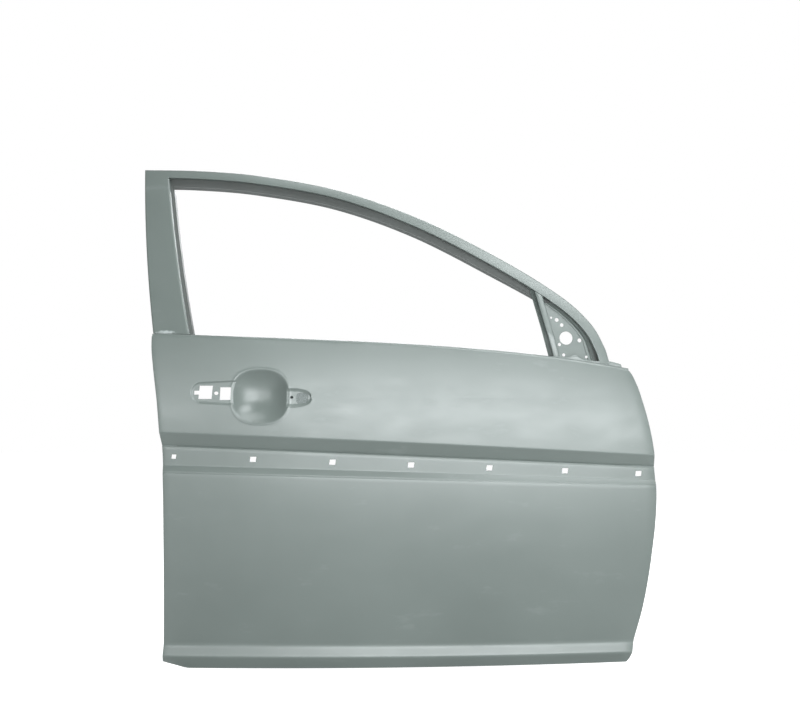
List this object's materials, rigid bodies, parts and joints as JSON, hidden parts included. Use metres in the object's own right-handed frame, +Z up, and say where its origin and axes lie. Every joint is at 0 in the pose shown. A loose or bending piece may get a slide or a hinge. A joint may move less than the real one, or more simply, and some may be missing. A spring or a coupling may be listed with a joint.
{
  "type": "car door shell",
  "caption": "Pressed steel shell of a front right car door in primer, with its window frame, mirror panel, handle seat and inner panel, ready for glass, latch and trim.",
  "frame": {"origin": "on the upper hinge's bolting face, midway between its two bolts", "axes": "+X to the front of the car and out of the hinge face, -Y out of the car, +Z up"},
  "size_m": [1.182, 0.228, 1.1452],
  "materials": {
    "electro_coat_primer": "satin",
    "electro_coat_primer_inside": "satin",
    "electro_coat_primer_nut": "satin"
  },
  "bodies": {
    "root": {"outer_skin": "electro_coat_primer", "frame_outer": "electro_coat_primer", "sail_panel": "electro_coat_primer", "mirror_reinforcement": "electro_coat_primer", "division_bar": "electro_coat_primer", "frame_inner": "electro_coat_primer_inside", "inner_panel": "electro_coat_primer_inside", "division_bar_foot": "electro_coat_primer_inside", "belt_strip_outer": "electro_coat_primer_inside", "belt_strip_inner": "electro_coat_primer_inside", "impact_beam": "electro_coat_primer_inside", "beam_bracket_rear": "electro_coat_primer_inside", "beam_bracket_front": "electro_coat_primer_inside", "hinge_plate_upper": "electro_coat_primer_inside", "hinge_plate_lower": "electro_coat_primer_inside", "check_strap_plate": "electro_coat_primer_inside", "latch_plate": "electro_coat_primer_inside", "handle_bracket": "electro_coat_primer_inside", "rear_glass_guide": "electro_coat_primer_inside", "mirror_nut_1": "electro_coat_primer_nut", "mirror_nut_2": "electro_coat_primer_nut", "mirror_nut_3": "electro_coat_primer_nut", "upper_hinge_nut_0": "electro_coat_primer_nut", "upper_hinge_nut_1": "electro_coat_primer_nut", "lower_hinge_nut_0": "electro_coat_primer_nut", "lower_hinge_nut_1": "electro_coat_primer_nut"}
  },
  "joints": []
}
